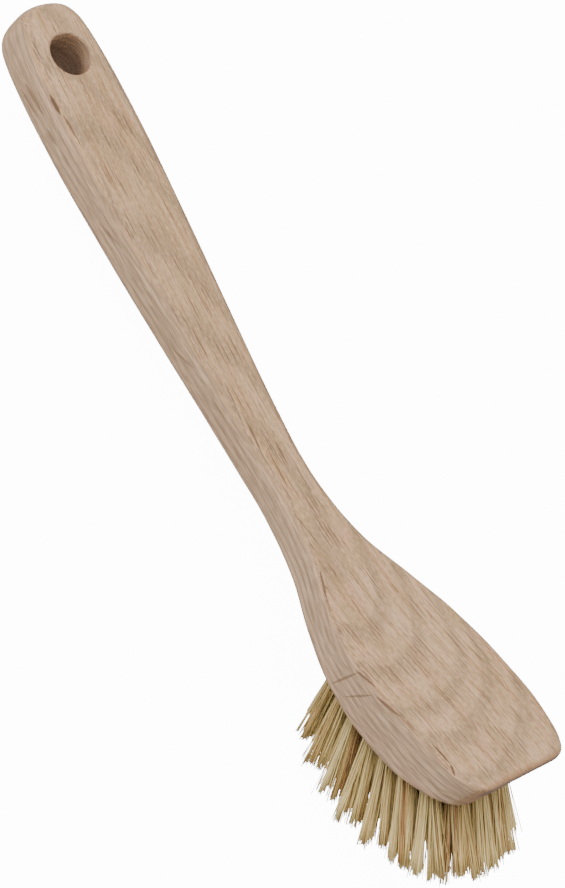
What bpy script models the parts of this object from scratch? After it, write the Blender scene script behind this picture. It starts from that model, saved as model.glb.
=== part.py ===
"""A wooden dish brush: one shaped oak handle and head, with tufts of stiff plant fibre in drilled holes.

Each tuft is a bundle folded in half in its own hole, and a flat metal anchor driven across the fold holds
it there, with its two ends seated in the walls of the hole. The brush is drawn in the wood's own frame,
with +X from the front face to the hanging end and +Z away from the bristles. An empty then leans the whole
brush as it rests on a table, on its rear bristle tips and the underside of its hanging end, with the
origin on the table under the middle of the brush.
"""

import math
import random

import bmesh
import bpy
from mathutils import Matrix, Vector

# Lengths of the wood, measured along it
HEAD_LENGTH = 0.1000  # front face to the narrowest place of the neck
HANDLE_LENGTH = 0.1478  # narrowest place of the neck to the hanging end

# Widths, seen from above
FRONT_WIDTH = 0.0307
HEAD_WIDTH = 0.0422
NECK_WIDTH = 0.0150
GRIP_WIDTH = 0.0264
FRONT_CORNER_RADIUS = 0.0034
END_ROUNDING = 0.0087  # length over which the hanging end narrows
END_SQUARENESS = 2.2  # 2 is an ellipse, and a larger number is a blunter end

# Thicknesses, seen from the side
FRONT_THICKNESS = 0.0118
HEAD_THICKNESS = 0.0175
SHOULDER_THICKNESS = 0.0138
NECK_THICKNESS = 0.0129
GRIP_THICKNESS = 0.0147
END_THICKNESS = 0.0163
FRONT_EDGE_RADIUS = 0.0018
END_EDGE_ROUNDING = 0.0040  # length over which the hanging end thins out

# The four long edges, which are sanded rounder towards the hanging end
HEAD_EDGE_RADIUS = 0.0020
HANDLE_EDGE_RADIUS = 0.0035
END_EDGE_RADIUS = 0.0045

# The side view's bow: how far the front and the hanging end rise above the neck
FRONT_RISE = 0.0177
END_RISE = 0.0122
BOW_LOWEST = 0.1060  # front face to the bow's lowest place
FRONT_CUT_REACH = 0.0300  # length over which the sections turn from the square front cut to the bow
CURL_POWER = 2.5
SWEEP_POWER = 1.22
FRONT_CUT_SHEAR = 0.554

# Width along the wood, as shares of the length and of the width there
HEAD_PLAN_SHARES = (
    (0.075, 0.904), (0.19, 0.986), (0.255, 0.993), (0.33, 1.0), (0.475, 0.941),
    (0.625, 0.739), (0.775, 0.485), (0.895, 0.388),
)
HANDLE_PLAN_SHARES = (
    (0.155, 0.640), (0.32, 0.766), (0.53, 0.914), (0.73, 1.0), (0.81, 0.992), (0.90, 0.933), (1.0, 0.716),
)
HEAD_THICKEST_SHARE = 0.24
SHOULDER_SHARE = 0.60
GRIP_THICKEST_SHARE = 0.60

# The hanging hole
HANGING_HOLE_DIAMETER = 0.0125
HANGING_HOLE_FROM_END = 0.0174  # hanging end to the middle of the hole
HANGING_HOLE_CHAMFER = 0.0007

# The bristle field on the underside: the tufts' middles lie on two rings, with one tuft at the centre
FIELD_FRONT = 0.0080  # front face to the outer ring
FIELD_LENGTH = 0.0474  # outer ring, front to rear
FIELD_WIDTH = 0.0307  # outer ring, side to side
INNER_LENGTH_SHARE = 0.64  # inner ring, as shares of the outer ring's length and width
INNER_WIDTH_SHARE = 0.46
OUTER_TUFTS = 19
INNER_TUFTS = 9
FIELD_FRONT_SQUARENESS = 3.0
FIELD_REAR_SQUARENESS = 2.0

# The tufts fan out from a line above the head, less so from side to side
FAN_BEHIND_FRONT = 0.0745  # front face to the point that the tufts fan from
FAN_HEIGHT = 0.0445  # height of that point over the middle of the front face
SIDE_FAN_SHARE = 0.5

# One tuft and its hole
TUFT_HOLE_DIAMETER = 0.0048
TUFT_HOLE_DEPTH = 0.0090
BRISTLE_LENGTH = 0.0292  # out of the wood, along the tuft
BRISTLE_UNEVENNESS = 0.0018  # how much shorter some of the cut tips are
TIP_SPREAD = 0.0011  # how far the outer strands stray outwards on their way to the tip
TIP_STRAY = 0.0002
STRAND_RINGS = 2  # rings of strands round the middle of a tuft
STRAND_BEND_SHARE = 0.45
STRAND_ROOT_SHARE = 0.82  # a strand's width just outside the wood, as a share of its cell
STRAND_TIP_SHARE = 0.55
FOLD_ROUNDING = 0.0008
FIT_GAP = 0.0003  # clearance between pieces that touch

# The flat anchor across the fold
ANCHOR_WIDTH = 0.0054
ANCHOR_HEIGHT = 0.0020
ANCHOR_THICKNESS = 0.0005
ANCHOR_EDGE = 0.0001
FOLD_THICKNESS = 0.0018  # fibre between the anchor and the bottom of the hole

TIP_TRIM = 0.0005  # how much the table plane cuts off the lowest tips
OVERRUN = 0.0030  # how far a cutter reaches past the wood

SECTION_POINTS = 24
HEAD_SECTIONS = 15
HANDLE_SECTIONS = 12
ROUND_SECTIONS = 5
END_SECTIONS = 7
LAST_END_SHARE = 0.99  # the end's last section, as a share of its rounding
HOLE_SIDES = 12
HANGING_HOLE_SIDES = 28
SHARP_ANGLE = math.radians(35)
MERGE_DISTANCE = 0.00002
RING_STEPS_PER_TUFT = 40  # steps in which a ring's length is measured
STEEPEST_LEAN = math.radians(45)
LEAN_HALVINGS = 50
STRAY_SEED = 4

WOOD_LENGTH = HEAD_LENGTH + HANDLE_LENGTH


def clear_scene():
    for old in list(bpy.data.objects):
        bpy.data.objects.remove(old, do_unlink=True)


def material(name, color, roughness, metallic=0.0):
    made = bpy.data.materials.new(name)
    made.use_nodes = True
    shader = made.node_tree.nodes["Principled BSDF"]
    shader.inputs["Base Color"].default_value = (*color, 1.0)
    shader.inputs["Roughness"].default_value = roughness
    shader.inputs["Metallic"].default_value = metallic
    return made


def smooth_between(points, at):
    """A curve through the points that never overshoots them: cubic spans with limited slopes."""
    steps = [(b[1] - a[1]) / (b[0] - a[0]) for a, b in zip(points, points[1:])]
    slopes = [steps[0]]
    for before, after in zip(steps, steps[1:]):
        slopes.append(0.0 if before * after <= 0 else 2 * before * after / (before + after))
    slopes.append(steps[-1])
    for (a, b), start, end in zip(zip(points, points[1:]), slopes, slopes[1:]):
        if at <= b[0] or b is points[-1]:
            span = b[0] - a[0]
            t = min(max((at - a[0]) / span, 0.0), 1.0)
            return (
                a[1] * (1 + 2 * t) * (1 - t) ** 2
                + b[1] * t**2 * (3 - 2 * t)
                + span * (start * t * (1 - t) ** 2 - end * t**2 * (1 - t))
            )


def plan_points():
    head = [(share * HEAD_LENGTH, width * HEAD_WIDTH) for share, width in HEAD_PLAN_SHARES]
    handle = [
        (HEAD_LENGTH + share * HANDLE_LENGTH, width * GRIP_WIDTH) for share, width in HANDLE_PLAN_SHARES
    ]
    return [(0.0, FRONT_WIDTH), *head, (HEAD_LENGTH, NECK_WIDTH), *handle]


def thickness_points():
    return [
        (0.0, FRONT_THICKNESS),
        (HEAD_THICKEST_SHARE * HEAD_LENGTH, HEAD_THICKNESS),
        (SHOULDER_SHARE * HEAD_LENGTH, SHOULDER_THICKNESS),
        (HEAD_LENGTH, NECK_THICKNESS),
        (HEAD_LENGTH + GRIP_THICKEST_SHARE * HANDLE_LENGTH, GRIP_THICKNESS),
        (WOOD_LENGTH, END_THICKNESS),
    ]


def rounding(distance, radius):
    """How far a quarter-round edge draws the surface in, at this distance from the face it meets."""
    inside = min(max(1 - distance / radius, 0.0), 1.0)
    return radius * (1 - math.sqrt(1 - inside**2))


def end_taper(distance, reach, squareness):
    """The share of the full size that is left near the hanging end, at this distance from it."""
    inside = min(max(1 - distance / reach, 0.0), 1.0)
    return (1 - inside**squareness) ** (1 / squareness)


def half_width(x):
    full = smooth_between(plan_points(), x) / 2 - rounding(x, FRONT_CORNER_RADIUS)
    return full * end_taper(WOOD_LENGTH - x, END_ROUNDING, END_SQUARENESS)


def half_thickness(x):
    full = smooth_between(thickness_points(), x) / 2 - rounding(x, FRONT_EDGE_RADIUS)
    return full * end_taper(WOOD_LENGTH - x, END_EDGE_ROUNDING, END_SQUARENESS)


def edge_radius(x):
    """Radius of the four long edges, which is never more than half the section's width or thickness."""
    full = smooth_between((
        (SHOULDER_SHARE * HEAD_LENGTH, HEAD_EDGE_RADIUS),
        (HEAD_LENGTH, HANDLE_EDGE_RADIUS),
        (WOOD_LENGTH - HANGING_HOLE_FROM_END, END_EDGE_RADIUS),
    ), x)
    return min(full, half_width(x), half_thickness(x))


def rise(x):
    if x < BOW_LOWEST:
        return FRONT_RISE * (1 - x / BOW_LOWEST) ** CURL_POWER
    return END_RISE * ((x - BOW_LOWEST) / (WOOD_LENGTH - BOW_LOWEST)) ** SWEEP_POWER


def fall_angle(x):
    """Angle by which the wood's middle line falls on its way from the front to the hanging end."""
    if x < BOW_LOWEST:
        slope = FRONT_RISE / BOW_LOWEST * CURL_POWER * (1 - x / BOW_LOWEST) ** (CURL_POWER - 1)
    else:
        reach = WOOD_LENGTH - BOW_LOWEST
        slope = -END_RISE / reach * SWEEP_POWER * ((x - BOW_LOWEST) / reach) ** (SWEEP_POWER - 1)
    return math.atan(slope)


def on_section(x, across, up):
    """The point of the section at x that lies this far across and up from the wood's middle line."""
    lean = fall_angle(x)
    along = -FRONT_CUT_SHEAR * up * max(0.0, 1 - x / FRONT_CUT_REACH)
    return Vector((
        x + math.sin(lean) * up + math.cos(lean) * along,
        across,
        rise(x) + math.cos(lean) * up - math.sin(lean) * along,
    ))


def underside(x, across):
    radius = edge_radius(x)
    into_edge = max(abs(across) - half_width(x) + radius, 0.0)
    return on_section(x, across, radius - half_thickness(x) - math.sqrt(radius**2 - into_edge**2))


def section(x):
    """One closed section: a rectangle with rounded corners, an equal number of points round each."""
    radius = edge_radius(x)
    points = []
    for k in range(SECTION_POINTS):
        turn = math.tau * (k + 1 / 2) / SECTION_POINTS
        c, s = math.cos(turn), math.sin(turn)
        across = math.copysign(half_width(x) - radius, c) + radius * c
        up = math.copysign(half_thickness(x) - radius, s) + radius * s
        points.append(on_section(x, across, up))
    return points


def section_places():
    quarter = [math.sin(math.pi / 2 * k / ROUND_SECTIONS) for k in range(ROUND_SECTIONS)]
    places = [FRONT_CORNER_RADIUS * (1 - math.sqrt(1 - share**2)) for share in quarter]
    straight = HEAD_LENGTH - FRONT_CORNER_RADIUS
    places += [FRONT_CORNER_RADIUS + straight * k / HEAD_SECTIONS for k in range(HEAD_SECTIONS)]
    straight = HANDLE_LENGTH - END_ROUNDING
    places += [HEAD_LENGTH + straight * k / HANDLE_SECTIONS for k in range(HANDLE_SECTIONS)]
    for k in range(END_SECTIONS):
        share = LAST_END_SHARE * math.sin(math.pi / 2 * k / (END_SECTIONS - 1))
        places.append(WOOD_LENGTH - END_ROUNDING * (1 - share))
    return places


def new_object(name, shape, look, parent):
    mesh = bpy.data.meshes.new(name)
    bmesh.ops.recalc_face_normals(shape, faces=shape.faces)
    shape.to_mesh(mesh)
    shape.free()
    made = bpy.data.objects.new(name, mesh)
    made.parent = parent
    bpy.context.collection.objects.link(made)
    if look:
        mesh.materials.append(look)
    return made


def lofted_wood():
    """The wood's outer shape, lofted through its sections from the front face to the hanging end."""
    shape = bmesh.new()
    rings = [[shape.verts.new(point) for point in section(x)] for x in section_places()]
    shape.faces.new(rings[0])
    for ring, after in zip(rings, rings[1:]):
        for k in range(SECTION_POINTS):
            shape.faces.new((ring[k - 1], ring[k], after[k], after[k - 1]))
    shape.faces.new(reversed(rings[-1]))
    return shape


def cutter(name, shape, parent):
    made = new_object(name, shape, None, parent)
    made.hide_render = True
    made.display_type = "WIRE"
    return made


def cut(target, tool):
    step = target.modifiers.new("cut_" + tool.name, "BOOLEAN")
    step.operation = "DIFFERENCE"
    step.solver = "EXACT"
    step.object = tool


def hanging_hole_cutter(parent):
    """A drill with a small countersink at both faces, turned about the hole's own axis."""
    x = WOOD_LENGTH - HANGING_HOLE_FROM_END
    radius = HANGING_HOLE_DIAMETER / 2
    face = half_thickness(x)
    top = face + OVERRUN
    wide = radius + HANGING_HOLE_CHAMFER + OVERRUN
    profile = (
        (0.0, -top), (wide, -top), (radius, -face + HANGING_HOLE_CHAMFER),
        (radius, face - HANGING_HOLE_CHAMFER), (wide, top), (0.0, top),
    )
    shape = bmesh.new()
    corners = [shape.verts.new((r, 0.0, z)) for r, z in profile]
    edges = [shape.edges.new(pair) for pair in zip(corners, corners[1:])]
    bmesh.ops.spin(
        shape, geom=corners + edges, cent=(0, 0, 0), axis=(0, 0, 1), angle=math.tau,
        steps=HANGING_HOLE_SIDES, use_merge=True, use_duplicate=False,
    )
    bmesh.ops.remove_doubles(shape, verts=shape.verts, dist=MERGE_DISTANCE)
    place = Matrix.Translation(on_section(x, 0.0, 0.0)) @ Matrix.Rotation(fall_angle(x), 4, "Y")
    bmesh.ops.transform(shape, matrix=place, verts=shape.verts)
    return cutter("hanging_hole_cutter", shape, parent)


def ring_places(count, length, width):
    """Places spaced evenly along a closed ring: square-shouldered towards the front, round at the rear."""
    middle = FIELD_FRONT + FIELD_LENGTH / 2
    outline = []
    steps = RING_STEPS_PER_TUFT * count
    for k in range(steps + 1):
        turn = math.tau * k / steps
        c, s = math.cos(turn), math.sin(turn)
        power = 2 / (FIELD_FRONT_SQUARENESS if c > 0 else FIELD_REAR_SQUARENESS)
        outline.append(Vector((
            middle - length / 2 * math.copysign(abs(c) ** power, c),
            width / 2 * math.copysign(abs(s) ** power, s),
        )))
    walked = [0.0]
    for a, b in zip(outline, outline[1:]):
        walked.append(walked[-1] + (b - a).length)
    places = []
    for n in range(count):
        wanted = walked[-1] * n / count
        k = max(i for i, way in enumerate(walked[:-1]) if way <= wanted)
        share = (wanted - walked[k]) / (walked[k + 1] - walked[k])
        across = (outline[k + 1] - outline[k]).normalized().orthogonal()
        places.append((outline[k].lerp(outline[k + 1], share), across))
    return places


def tuft_frames():
    """Each tuft's name ending and its frame, at its hole's mouth: -Z down the bristles, X across the ring."""
    outer = ring_places(OUTER_TUFTS, FIELD_LENGTH, FIELD_WIDTH)
    inner = ring_places(INNER_TUFTS, INNER_LENGTH_SHARE * FIELD_LENGTH, INNER_WIDTH_SHARE * FIELD_WIDTH)
    named = [(f"outer_{n + 1:02d}", *place) for n, place in enumerate(outer)]
    named += [(f"inner_{n + 1:02d}", *place) for n, place in enumerate(inner)]
    named.append(("centre", Vector((FIELD_FRONT + FIELD_LENGTH / 2, 0.0)), Vector((1.0, 0.0))))
    fan = Vector((FAN_BEHIND_FRONT, 0.0, FRONT_RISE + FAN_HEIGHT))
    frames = []
    for name, place, across in named:
        root = underside(place.x, place.y)
        away = root - fan
        away.y *= SIDE_FAN_SHARE
        up = -away.normalized()
        side = Vector((across.x, across.y, 0.0))
        side = (side - up * side.dot(up)).normalized()
        frame = Matrix((side, up.cross(side), up)).transposed().to_4x4()
        frame.translation = root
        frames.append((name, frame))
    return frames


def drilled_holes_cutter(frames, parent):
    shape = bmesh.new()
    length = TUFT_HOLE_DEPTH + OVERRUN
    for _, frame in frames:
        bmesh.ops.create_cone(
            shape, cap_ends=True, segments=HOLE_SIDES, radius1=TUFT_HOLE_DIAMETER / 2,
            radius2=TUFT_HOLE_DIAMETER / 2, depth=length,
            matrix=frame @ Matrix.Translation((0, 0, TUFT_HOLE_DEPTH - length / 2)),
        )
    return cutter("drilled_holes_cutter", shape, parent)


def anchor_height_middle():
    return TUFT_HOLE_DEPTH - FIT_GAP - FOLD_THICKNESS - FIT_GAP - ANCHOR_HEIGHT / 2


def boxes(frames, size):
    """One box for each tuft, round the middle of its anchor."""
    shape = bmesh.new()
    for _, frame in frames:
        stretch = Matrix.Diagonal((*size, 1))
        place = frame @ Matrix.Translation((0, 0, anchor_height_middle())) @ stretch
        bmesh.ops.create_cube(shape, size=1, matrix=place)
    return shape


def anchor_slots_cutter(frames, parent):
    """The slots that the anchors fill, through each fold and into the walls of its hole."""
    size = (ANCHOR_WIDTH + 2 * FIT_GAP, ANCHOR_THICKNESS + 2 * FIT_GAP, ANCHOR_HEIGHT + 2 * FIT_GAP)
    return cutter("anchor_slots_cutter", boxes(frames, size), parent)


def strand_cells(shape, radius):
    """A round patch of triangles in rings. Every second one is a cell that a strand grows from."""
    rows = range(-STRAND_RINGS, STRAND_RINGS + 1)
    spots = {}
    for i in rows:
        for j in rows:
            ring = max(abs(i), abs(j), abs(i + j))
            if ring > STRAND_RINGS:
                continue
            spot = Vector((i + j / 2, j * math.sqrt(3) / 2, 0.0))
            if ring:
                spot *= ring / spot.length
            spots[i, j] = shape.verts.new(spot * radius / STRAND_RINGS)
    cells = []
    for i, j in spots:
        upright = [(i, j), (i + 1, j), (i, j + 1)]
        upturned = [(i + 1, j), (i + 1, j + 1), (i, j + 1)]
        if all(key in spots for key in upright):
            cells.append(shape.faces.new([spots[key] for key in upright]))
        if all(key in spots for key in upturned):
            shape.faces.new([spots[key] for key in upturned])
    return cells


def fold_root(shape, radius):
    """Walls and rounded end of the folded bundle, drawn up into the hole from the rim of the patch."""
    rim = [edge for edge in shape.edges if edge.is_boundary]
    depth = TUFT_HOLE_DEPTH - FIT_GAP
    for level, width in ((depth - FOLD_ROUNDING, radius), (depth, radius - FOLD_ROUNDING)):
        grown = bmesh.ops.extrude_edge_only(shape, edges=rim)["geom"]
        rim = [item for item in grown if isinstance(item, bmesh.types.BMEdge)]
        for point in [item for item in grown if isinstance(item, bmesh.types.BMVert)]:
            flat = point.co.xy.normalized() * width
            point.co = (flat.x, flat.y, level)
    bmesh.ops.edgeloop_fill(shape, edges=rim)


def grow_strands(shape, cells, radius, chance):
    """Three-sided strands, each drawn out of its own cell, a little outwards and to a narrower cut tip."""
    for cell in cells:
        middle = cell.calc_center_median()
        outwards = middle / radius
        stray = Vector((chance.uniform(-1, 1), chance.uniform(-1, 1), 0.0)) * TIP_STRAY
        length = BRISTLE_LENGTH - BRISTLE_UNEVENNESS * chance.random()
        corners = [point.co - middle for point in cell.verts]
        face = cell
        for share, width in ((STRAND_BEND_SHARE, STRAND_ROOT_SHARE), (1.0, STRAND_TIP_SHARE)):
            face = bmesh.ops.extrude_discrete_faces(shape, faces=[face])["faces"][0]
            drift = outwards * TIP_SPREAD * share**2 + stray * share
            for point, corner in zip(face.verts, corners):
                point.co = middle + corner * width + drift
                point.co.z -= length * share


def tuft_shape(chance):
    radius = TUFT_HOLE_DIAMETER / 2 - FIT_GAP
    shape = bmesh.new()
    cells = strand_cells(shape, radius)
    fold_root(shape, radius)
    grow_strands(shape, cells, radius, chance)
    return shape


def lowest(points, lean):
    return min(point.z * math.cos(lean) - point.x * math.sin(lean) for point in points)


def resting_lean(tips, wood):
    """The angle at which the table plane touches the wood's end and cuts the lowest tips by their trim."""
    low, high = 0.0, STEEPEST_LEAN
    end = [point for point in wood if point.x > HEAD_LENGTH]
    for _ in range(LEAN_HALVINGS):
        lean = (low + high) / 2
        if lowest(tips, lean) + TIP_TRIM < lowest(end, lean):
            low = lean
        else:
            high = lean
    return lean


def trim_tips(shape, frame, lean, level):
    """Cuts flat whatever reaches below the table."""
    normal = Vector((-math.sin(lean), 0.0, math.cos(lean)))
    back = frame.inverted()
    made = bmesh.ops.bisect_plane(
        shape, geom=shape.verts[:] + shape.edges[:] + shape.faces[:], dist=0,
        plane_co=back @ (normal * level), plane_no=back.to_3x3() @ normal, clear_inner=True,
    )
    opened = [item for item in made["geom_cut"] if isinstance(item, bmesh.types.BMEdge)]
    if opened:
        bmesh.ops.holes_fill(shape, edges=opened)


def build():
    clear_scene()
    oak = material("oak", (0.47, 0.34, 0.24), 0.62)
    fibre = material("plant_fibre", (0.56, 0.43, 0.22), 0.70)
    steel = material("anchor_steel", (0.55, 0.54, 0.52), 0.35, 1.0)

    brush = bpy.data.objects.new("brush_at_rest", None)
    bpy.context.collection.objects.link(brush)

    frames = tuft_frames()
    chance = random.Random(STRAY_SEED)
    tufts = [tuft_shape(chance) for _ in frames]
    wood = lofted_wood()

    wood_points = [point.co.copy() for point in wood.verts]
    tips = [frame @ point.co for (_, frame), shape in zip(frames, tufts) for point in shape.verts]
    lean = resting_lean(tips, wood_points)
    table = lowest(wood_points, lean)

    handle = new_object("wooden_handle", wood, oak, brush)
    cut(handle, drilled_holes_cutter(frames, brush))
    slots = anchor_slots_cutter(frames, brush)
    cut(handle, slots)
    cut(handle, hanging_hole_cutter(brush))
    handle.data.shade_smooth()
    handle.data.set_sharp_from_angle(angle=SHARP_ANGLE)

    anchor_size = (ANCHOR_WIDTH, ANCHOR_THICKNESS, ANCHOR_HEIGHT)
    for (name, frame), shape in zip(frames, tufts):
        trim_tips(shape, frame, lean, table)
        tuft = new_object("tuft_" + name, shape, fibre, brush)
        tuft.matrix_local = frame
        cut(tuft, slots)
        anchor = new_object("anchor_" + name, boxes([(name, frame)], anchor_size), steel, brush)
        edge = anchor.modifiers.new("rounded_edges", "BEVEL")
        edge.width = ANCHOR_EDGE
        edge.segments = 1

    turn = Matrix.Rotation(lean, 4, "Y")
    resting = [turn @ point for point in wood_points + tips]
    ends = [[reach(point[axis] for point in resting) for reach in (min, max)] for axis in (0, 1)]
    middle = [sum(pair) / 2 for pair in ends]
    brush.matrix_world = Matrix.Translation((-middle[0], -middle[1], -table)) @ turn


build()
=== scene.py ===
# %% [markdown]
# # A wooden dish brush
# A dish brush of this kind is one piece of oak, sawn to a curled outline, rounded over and drilled
# underneath. Each hole holds a bundle of stiff plant fibre, folded in half and wedged by a flat metal
# anchor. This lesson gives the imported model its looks: grain that runs through the whole solid, and tufts
# of single fibres.

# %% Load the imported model
import math
import random

import bmesh
import bpy
from mathutils import Matrix, Vector


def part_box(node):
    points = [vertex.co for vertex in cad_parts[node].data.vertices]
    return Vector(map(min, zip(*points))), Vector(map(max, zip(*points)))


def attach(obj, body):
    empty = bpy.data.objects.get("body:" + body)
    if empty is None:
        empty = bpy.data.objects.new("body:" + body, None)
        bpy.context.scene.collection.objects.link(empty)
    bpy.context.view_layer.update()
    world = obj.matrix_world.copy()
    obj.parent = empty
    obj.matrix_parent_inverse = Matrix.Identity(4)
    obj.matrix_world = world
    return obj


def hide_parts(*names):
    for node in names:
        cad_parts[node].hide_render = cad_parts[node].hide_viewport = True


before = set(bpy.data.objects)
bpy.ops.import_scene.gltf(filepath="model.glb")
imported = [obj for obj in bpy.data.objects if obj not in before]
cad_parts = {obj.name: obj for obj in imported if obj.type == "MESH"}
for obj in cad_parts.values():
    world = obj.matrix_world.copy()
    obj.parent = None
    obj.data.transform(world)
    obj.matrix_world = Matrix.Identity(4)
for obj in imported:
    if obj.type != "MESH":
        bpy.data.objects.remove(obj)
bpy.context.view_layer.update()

# %% [markdown]
# ## The camera
# A long lens looks down on the brush from its side, rolled on its own axis, so that the handle points to
# the upper left. A location and three angles would place it too, but a target, a distance, and how far
# round, how high up and how much it is rolled are easier to read.

# %% Place the camera
CAMERA_TARGET = Vector((-0.00537, -0.00777, 0.0200))
CAMERA_DISTANCE = 0.9048
CAMERA_AZIMUTH = math.radians(185.60)
CAMERA_ELEVATION = math.radians(50.69)
CAMERA_ROLL = math.radians(61.04)
CAMERA_LENS_MM = 136.17


def place_camera():
    camera = bpy.data.objects.new("photo_camera", bpy.data.cameras.new("photo_camera"))
    camera.data.lens = CAMERA_LENS_MM
    camera.data.clip_start = 0.05
    camera.matrix_world = (
        Matrix.Translation(CAMERA_TARGET)
        @ Matrix.Rotation(CAMERA_AZIMUTH, 4, "Z")
        @ Matrix.Rotation(math.radians(90) - CAMERA_ELEVATION, 4, "X")
        @ Matrix.Translation((0, 0, CAMERA_DISTANCE))
        @ Matrix.Rotation(CAMERA_ROLL, 4, "Z")
    )
    bpy.context.scene.collection.objects.link(camera)
    bpy.context.scene.camera = camera
    return camera


camera = place_camera()
print("camera at", [round(part, 3) for part in camera.matrix_world.translation])

# %% [markdown]
# ## The wood's shape
# The wood is drawn in its own frame, as a joiner sees it: X along the grain from the front of the head to
# the hanging end, and Z away from the bristles. It could be sculpted, but a loft is closer to how such a
# brush is made: a plan, a side view and a section that changes slowly. The sizes are those of the packed
# model, which has fewer facets.

# %% The wood's driving sizes
HEAD_LENGTH = 0.1000
HANDLE_LENGTH = 0.1478
WOOD_LENGTH = HEAD_LENGTH + HANDLE_LENGTH
FRONT_WIDTH, HEAD_WIDTH, NECK_WIDTH, GRIP_WIDTH = 0.0307, 0.0422, 0.0150, 0.0264
FRONT_THICKNESS, HEAD_THICKNESS, SHOULDER_THICKNESS = 0.0118, 0.0175, 0.0138
NECK_THICKNESS, GRIP_THICKNESS, END_THICKNESS = 0.0129, 0.0147, 0.0163
HEAD_EDGE_RADIUS, HANDLE_EDGE_RADIUS, END_EDGE_RADIUS = 0.0020, 0.0035, 0.0045
FRONT_CORNER_RADIUS, FRONT_EDGE_RADIUS = 0.0034, 0.0018
END_ROUNDING, END_EDGE_ROUNDING, END_SQUARENESS = 0.0087, 0.0040, 2.2
FRONT_RISE, END_RISE, BOW_LOWEST = 0.0177, 0.0122, 0.1060
CURL_POWER, SWEEP_POWER = 2.5, 1.22
FRONT_CUT_REACH, FRONT_CUT_SHEAR = 0.0300, 0.554

HEAD_PLAN_SHARES = (
    (0.075, 0.904), (0.19, 0.986), (0.255, 0.993), (0.33, 1.0), (0.475, 0.941),
    (0.625, 0.739), (0.775, 0.485), (0.895, 0.388),
)
HANDLE_PLAN_SHARES = (
    (0.155, 0.640), (0.32, 0.766), (0.53, 0.914), (0.73, 1.0), (0.81, 0.992), (0.90, 0.933), (1.0, 0.716),
)
HEAD_THICKEST_SHARE, SHOULDER_SHARE, GRIP_THICKEST_SHARE = 0.24, 0.60, 0.60
HANGING_HOLE_DIAMETER, HANGING_HOLE_FROM_END = 0.0125, 0.0174

plan_points = [
    (0.0, FRONT_WIDTH),
    *((share * HEAD_LENGTH, width * HEAD_WIDTH) for share, width in HEAD_PLAN_SHARES),
    (HEAD_LENGTH, NECK_WIDTH),
    *((HEAD_LENGTH + share * HANDLE_LENGTH, width * GRIP_WIDTH) for share, width in HANDLE_PLAN_SHARES),
]
thickness_points = [
    (0.0, FRONT_THICKNESS),
    (HEAD_THICKEST_SHARE * HEAD_LENGTH, HEAD_THICKNESS),
    (SHOULDER_SHARE * HEAD_LENGTH, SHOULDER_THICKNESS),
    (HEAD_LENGTH, NECK_THICKNESS),
    (HEAD_LENGTH + GRIP_THICKEST_SHARE * HANDLE_LENGTH, GRIP_THICKNESS),
    (WOOD_LENGTH, END_THICKNESS),
]
edge_points = [
    (SHOULDER_SHARE * HEAD_LENGTH, HEAD_EDGE_RADIUS),
    (HEAD_LENGTH, HANDLE_EDGE_RADIUS),
    (WOOD_LENGTH - HANGING_HOLE_FROM_END, END_EDGE_RADIUS),
]
print("plan points:", len(plan_points), "thickness points:", len(thickness_points))

# %% [markdown]
# A curve through a few given points must not wave between them. Cubic spans whose slopes are the
# harmonic mean of their neighbours' stay level at a widest or narrowest place, and never overshoot.

# %% Widths, thicknesses and the bow as functions of the place along the wood
def smooth_between(points, at):
    steps = [(b[1] - a[1]) / (b[0] - a[0]) for a, b in zip(points, points[1:])]
    slopes = [steps[0]]
    for before, after in zip(steps, steps[1:]):
        slopes.append(0.0 if before * after <= 0 else 2 * before * after / (before + after))
    slopes.append(steps[-1])
    for (a, b), start, end in zip(zip(points, points[1:]), slopes, slopes[1:]):
        if at <= b[0] or b is points[-1]:
            span = b[0] - a[0]
            t = min(max((at - a[0]) / span, 0.0), 1.0)
            return (
                a[1] * (1 + 2 * t) * (1 - t) ** 2
                + b[1] * t**2 * (3 - 2 * t)
                + span * (start * t * (1 - t) ** 2 - end * t**2 * (1 - t))
            )


def rounding(distance, radius):
    inside = min(max(1 - distance / radius, 0.0), 1.0)
    return radius * (1 - math.sqrt(1 - inside**2))


def end_taper(distance, reach):
    inside = min(max(1 - distance / reach, 0.0), 1.0)
    return (1 - inside**END_SQUARENESS) ** (1 / END_SQUARENESS)


def half_width(x):
    full = smooth_between(plan_points, x) / 2 - rounding(x, FRONT_CORNER_RADIUS)
    return full * end_taper(WOOD_LENGTH - x, END_ROUNDING)


def half_thickness(x):
    full = smooth_between(thickness_points, x) / 2 - rounding(x, FRONT_EDGE_RADIUS)
    return full * end_taper(WOOD_LENGTH - x, END_EDGE_ROUNDING)


def edge_radius(x):
    return min(smooth_between(edge_points, x), half_width(x), half_thickness(x))


def rise(x):
    if x < BOW_LOWEST:
        return FRONT_RISE * (1 - x / BOW_LOWEST) ** CURL_POWER
    return END_RISE * ((x - BOW_LOWEST) / (WOOD_LENGTH - BOW_LOWEST)) ** SWEEP_POWER


def fall_angle(x):
    if x < BOW_LOWEST:
        slope = FRONT_RISE / BOW_LOWEST * CURL_POWER * (1 - x / BOW_LOWEST) ** (CURL_POWER - 1)
    else:
        reach = WOOD_LENGTH - BOW_LOWEST
        slope = -END_RISE / reach * SWEEP_POWER * ((x - BOW_LOWEST) / reach) ** (SWEEP_POWER - 1)
    return math.atan(slope)


def on_section(x, across, up):
    lean = fall_angle(x)
    along = -FRONT_CUT_SHEAR * up * max(0.0, 1 - x / FRONT_CUT_REACH)
    return Vector((
        x + math.sin(lean) * up + math.cos(lean) * along,
        across,
        rise(x) + math.cos(lean) * up - math.sin(lean) * along,
    ))


for name, x in (("head", HEAD_THICKEST_SHARE * HEAD_LENGTH), ("neck", HEAD_LENGTH)):
    print(name, round(2000 * half_width(x), 1), "mm wide,", round(2000 * half_thickness(x), 1), "mm thick")

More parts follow.
